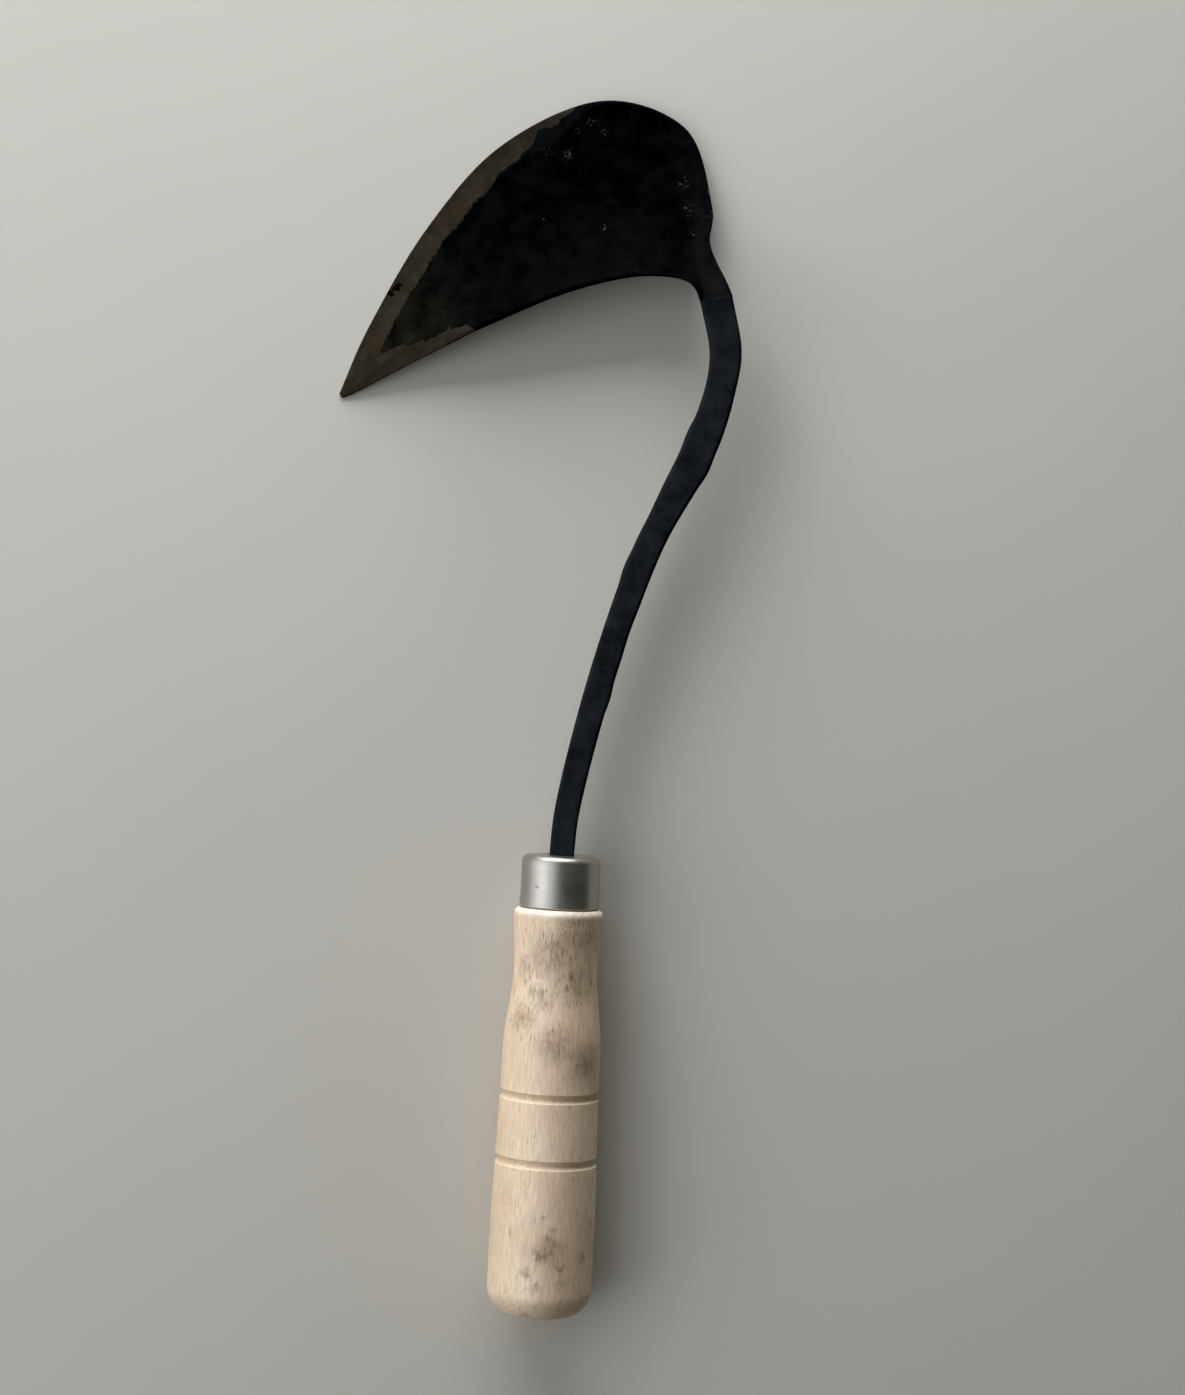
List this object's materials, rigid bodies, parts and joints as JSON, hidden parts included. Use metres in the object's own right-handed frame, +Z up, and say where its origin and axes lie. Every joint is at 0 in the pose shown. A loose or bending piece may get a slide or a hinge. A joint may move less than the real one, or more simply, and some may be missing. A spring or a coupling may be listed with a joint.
{
  "type": "short-handled hand hoe",
  "caption": "Forged hand hoe with a dished leaf blade, a ground edge, a long curved neck and a turned wooden handle with a ferrule.",
  "frame": {"origin": "middle of the bounding box's base, on the surface the hoe lies on", "axes": "+Y along the handle from the butt towards the blade, +Z up from the surface, the blade's point towards -X"},
  "size_m": [0.11, 0.3346, 0.0287],
  "materials": {
    "forged_steel": "black forge scale, edge ground bare",
    "stainless": "finely brushed",
    "bare_wood": "turned and sanded, no varnish"
  },
  "bodies": {
    "root": {"forged_head": "forged_steel", "ferrule": "stainless", "handle": "bare_wood"}
  },
  "joints": []
}
